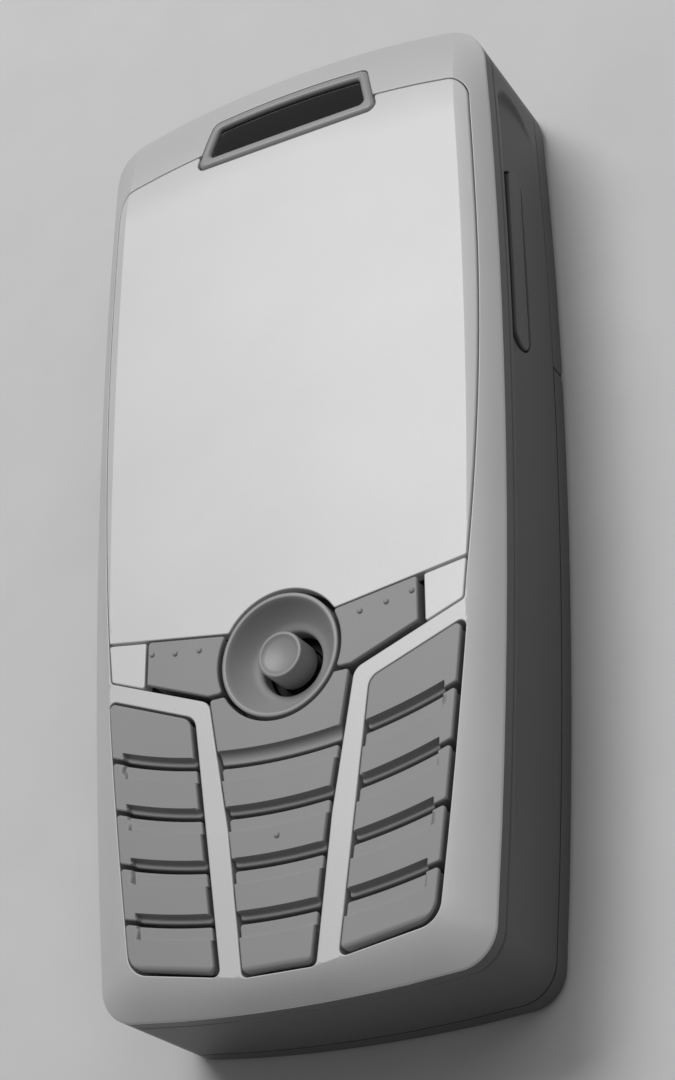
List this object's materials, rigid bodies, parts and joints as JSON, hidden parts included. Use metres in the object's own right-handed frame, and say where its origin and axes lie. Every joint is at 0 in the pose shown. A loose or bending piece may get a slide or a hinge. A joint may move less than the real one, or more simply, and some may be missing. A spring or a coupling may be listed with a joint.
{
  "type": "feature phone",
  "caption": "Candy-bar feature phone with a large blank display lens, an earpiece ring, a joystick in a round dish and a three-column keypad set between two branching arms.",
  "frame": {"origin": "centre of the phone's outline on the flat of its back, on which it lies", "axes": "+Z out of the front, +Y towards the earpiece end, +X to the right seen from the front"},
  "size_m": [0.0476, 0.106, 0.0187],
  "materials": {
    "front_shell": "satin light grey moulding",
    "rear_shell": "satin mid grey moulding",
    "lens": "satin pale panel",
    "keys": "satin grey keys",
    "dish": "satin grey",
    "ring": "satin grey",
    "window": "glossy black",
    "steel": "stamped sheet",
    "board": "solder mask",
    "mat": "silicone",
    "dark_plastic": "black moulding",
    "contact": "gilt",
    "card": "plain card"
  },
  "bodies": {
    "housing": {"front_housing": "front_shell", "rear_housing": "rear_shell", "upper_back_cover": "rear_shell", "display_lens": "lens", "trim_left": "lens", "trim_right": "lens", "display_module": "window", "display_frame": "steel", "earpiece_ring": "ring", "earpiece_window": "window", "earpiece_receiver": "steel", "nav_dish": "dish", "joystick_base": "steel", "side_key_board": "board", "keypad_mat": "mat", "key_domes": "steel", "main_board": "board", "shield_cans": "steel", "battery": "dark_plastic", "battery_contacts": "contact", "sim_holder": "steel", "sim_card": "card", "vibration_motor": "steel", "loudspeaker": "dark_plastic", "microphone": "steel", "charging_socket": "steel", "antenna": "contact", "housing_screws": "steel"},
    "battery_cover": {"battery_cover": "rear_shell"},
    "key_call": {"key_call": "keys"},
    "key_clear": {"key_clear": "keys"},
    "key_end": {"key_end": "keys"},
    "key_1": {"key_1": "keys"},
    "key_2": {"key_2": "keys"},
    "key_3": {"key_3": "keys"},
    "key_4": {"key_4": "keys"},
    "key_5": {"key_5": "keys"},
    "key_6": {"key_6": "keys"},
    "key_7": {"key_7": "keys"},
    "key_8": {"key_8": "keys"},
    "key_9": {"key_9": "keys"},
    "key_star": {"key_star": "keys"},
    "key_0": {"key_0": "keys"},
    "key_hash": {"key_hash": "keys"},
    "softkey_left": {"softkey_left": "keys"},
    "softkey_right": {"softkey_right": "keys"},
    "joystick_carriage": {"joystick_carriage": "dark_plastic"},
    "joystick_gimbal": {"joystick_gimbal": "steel"},
    "joystick_stick": {"joystick_stem": "steel", "joystick_cap": "dish"},
    "side_key": {"side_key": "rear_shell"},
    "vibration_weight": {"vibration_weight": "contact"}
  },
  "joints": [
    {"name": "key_call_press", "type": "slide", "parent": "housing", "child": "key_call", "axis": [0, 0, -1], "range_m": [0, 0.0004], "stiffness_N_per_m": 1500},
    {"name": "key_clear_press", "type": "slide", "parent": "housing", "child": "key_clear", "axis": [0, 0, -1], "range_m": [0, 0.0004], "stiffness_N_per_m": 1500},
    {"name": "key_end_press", "type": "slide", "parent": "housing", "child": "key_end", "axis": [0, 0, -1], "range_m": [0, 0.0004], "stiffness_N_per_m": 1500},
    {"name": "key_1_press", "type": "slide", "parent": "housing", "child": "key_1", "axis": [0, 0, -1], "range_m": [0, 0.0004], "stiffness_N_per_m": 1500},
    {"name": "key_2_press", "type": "slide", "parent": "housing", "child": "key_2", "axis": [0, 0, -1], "range_m": [0, 0.0004], "stiffness_N_per_m": 1500},
    {"name": "key_3_press", "type": "slide", "parent": "housing", "child": "key_3", "axis": [0, 0, -1], "range_m": [0, 0.0004], "stiffness_N_per_m": 1500},
    {"name": "key_4_press", "type": "slide", "parent": "housing", "child": "key_4", "axis": [0, 0, -1], "range_m": [0, 0.0004], "stiffness_N_per_m": 1500},
    {"name": "key_5_press", "type": "slide", "parent": "housing", "child": "key_5", "axis": [0, 0, -1], "range_m": [0, 0.0004], "stiffness_N_per_m": 1500},
    {"name": "key_6_press", "type": "slide", "parent": "housing", "child": "key_6", "axis": [0, 0, -1], "range_m": [0, 0.0004], "stiffness_N_per_m": 1500},
    {"name": "key_7_press", "type": "slide", "parent": "housing", "child": "key_7", "axis": [0, 0, -1], "range_m": [0, 0.0004], "stiffness_N_per_m": 1500},
    {"name": "key_8_press", "type": "slide", "parent": "housing", "child": "key_8", "axis": [0, 0, -1], "range_m": [0, 0.0004], "stiffness_N_per_m": 1500},
    {"name": "key_9_press", "type": "slide", "parent": "housing", "child": "key_9", "axis": [0, 0, -1], "range_m": [0, 0.0004], "stiffness_N_per_m": 1500},
    {"name": "key_star_press", "type": "slide", "parent": "housing", "child": "key_star", "axis": [0, 0, -1], "range_m": [0, 0.0004], "stiffness_N_per_m": 1500},
    {"name": "key_0_press", "type": "slide", "parent": "housing", "child": "key_0", "axis": [0, 0, -1], "range_m": [0, 0.0004], "stiffness_N_per_m": 1500},
    {"name": "key_hash_press", "type": "slide", "parent": "housing", "child": "key_hash", "axis": [0, 0, -1], "range_m": [0, 0.0004], "stiffness_N_per_m": 1500},
    {"name": "softkey_left_press", "type": "slide", "parent": "housing", "child": "softkey_left", "axis": [0, 0, -1], "range_m": [0, 0.0004], "stiffness_N_per_m": 1500},
    {"name": "softkey_right_press", "type": "slide", "parent": "housing", "child": "softkey_right", "axis": [0, 0, -1], "range_m": [0, 0.0004], "stiffness_N_per_m": 1500},
    {"name": "joystick_press", "type": "slide", "parent": "housing", "child": "joystick_carriage", "axis": [0, 0, -1], "range_m": [0, 0.00025], "stiffness_N_per_m": 3000},
    {"name": "joystick_tilt_up_down", "type": "hinge", "parent": "joystick_carriage", "child": "joystick_gimbal", "pos_m": [0, -0.0193, 0.013], "axis": [1, 0, 0], "range_deg": [-8, 8], "stiffness_Nm_per_rad": 0.04},
    {"name": "joystick_tilt_left_right", "type": "hinge", "parent": "joystick_gimbal", "child": "joystick_stick", "pos_m": [0, -0.0193, 0.013], "axis": [0, 1, 0], "range_deg": [-8, 8], "stiffness_Nm_per_rad": 0.04},
    {"name": "side_key_rock", "type": "hinge", "parent": "housing", "child": "side_key", "pos_m": [0.02184, 0.0237, 0.0096], "axis": [0, 0, 1], "range_deg": [-1.5, 1.5], "stiffness_Nm_per_rad": 0.3},
    {"name": "battery_cover_slide", "type": "slide", "parent": "housing", "child": "battery_cover", "axis": [0, -1, 0], "range_m": [0, 0.07]},
    {"name": "vibration_weight_spin", "type": "hinge", "parent": "housing", "child": "vibration_weight", "pos_m": [-0.014, 0.0215, 0.0085], "axis": [1, 0, 0], "continuous": true}
  ]
}
